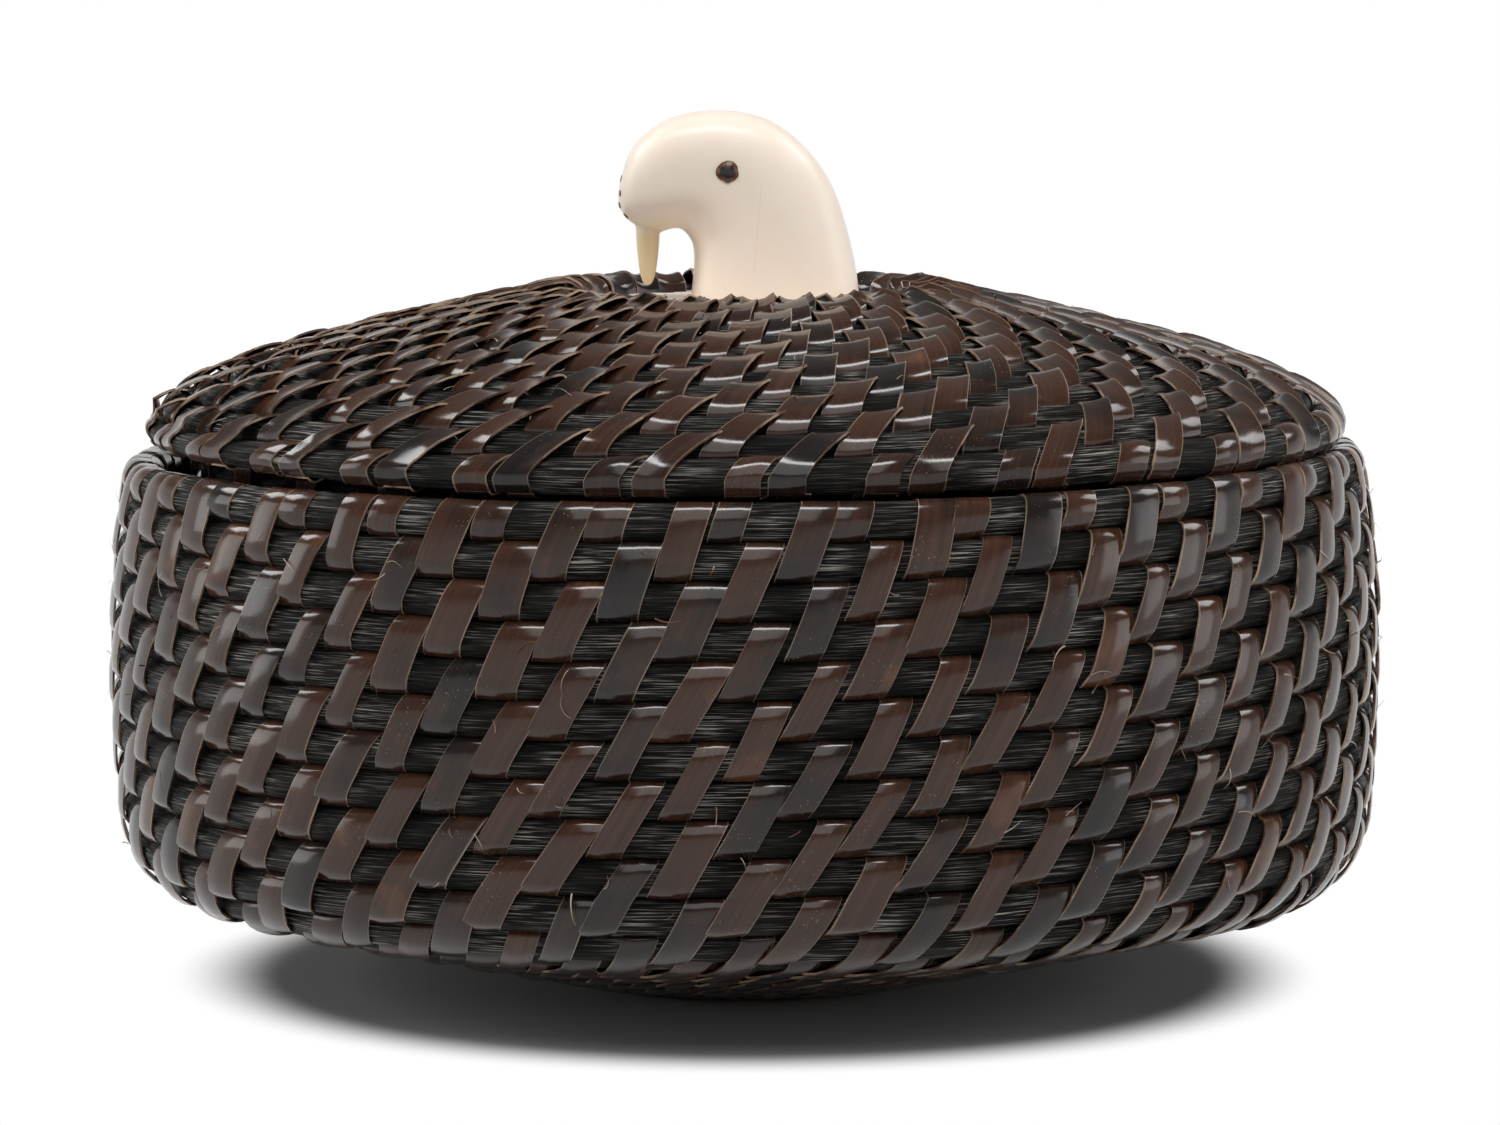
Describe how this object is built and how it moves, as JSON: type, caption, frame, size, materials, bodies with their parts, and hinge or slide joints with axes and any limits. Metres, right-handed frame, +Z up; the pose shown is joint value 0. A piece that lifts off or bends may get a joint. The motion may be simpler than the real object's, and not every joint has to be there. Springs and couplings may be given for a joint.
{
  "type": "lidded coiled basket",
  "caption": "Round coiled basket of dark rod and splints with a domed lift-off lid, pale centre discs and a carved walrus head as the lid's knob.",
  "frame": {"origin": "centre of the base disc's flat underside, on the surface that the basket stands on", "axes": "+Z up along the basket's axis, the walrus head faces -X, the pictured side faces -Y"},
  "size_m": [0.1212, 0.1212, 0.0825],
  "materials": {
    "ivory": "polished walrus ivory, warm white",
    "baleen_rod": "fibrous dark baleen rod, dull",
    "baleen_splint": "flat split baleen, glossy dark brown to black with tan edges",
    "baleen_inlay": "dark brown baleen plug, filed flush"
  },
  "bodies": {
    "basket": {"base_disc": "ivory", "base_coil": "baleen_rod", "wall_coil": "baleen_rod", "wall_splints_01": "baleen_splint", "wall_splints_02": "baleen_splint", "wall_splints_03": "baleen_splint", "wall_splints_04": "baleen_splint", "wall_splints_05": "baleen_splint", "wall_splints_06": "baleen_splint", "wall_splints_07": "baleen_splint", "wall_splints_08": "baleen_splint"},
    "lid": {"lid_disc": "ivory", "lid_coil": "baleen_rod", "lid_flange_coil": "baleen_rod", "walrus_head": "ivory", "finial_peg_front": "ivory", "finial_peg_back": "ivory", "eye_left": "baleen_inlay", "eye_right": "baleen_inlay", "whisker_pin_left_1": "baleen_inlay", "whisker_pin_left_2": "baleen_inlay", "whisker_pin_left_3": "baleen_inlay", "whisker_pin_left_4": "baleen_inlay", "whisker_pin_right_1": "baleen_inlay", "whisker_pin_right_2": "baleen_inlay", "whisker_pin_right_3": "baleen_inlay", "whisker_pin_right_4": "baleen_inlay"}
  },
  "joints": [
    {"name": "lid_lift", "type": "slide", "parent": "basket", "child": "lid", "axis": [0, 0, 1], "range_m": [0, 0.07]}
  ]
}
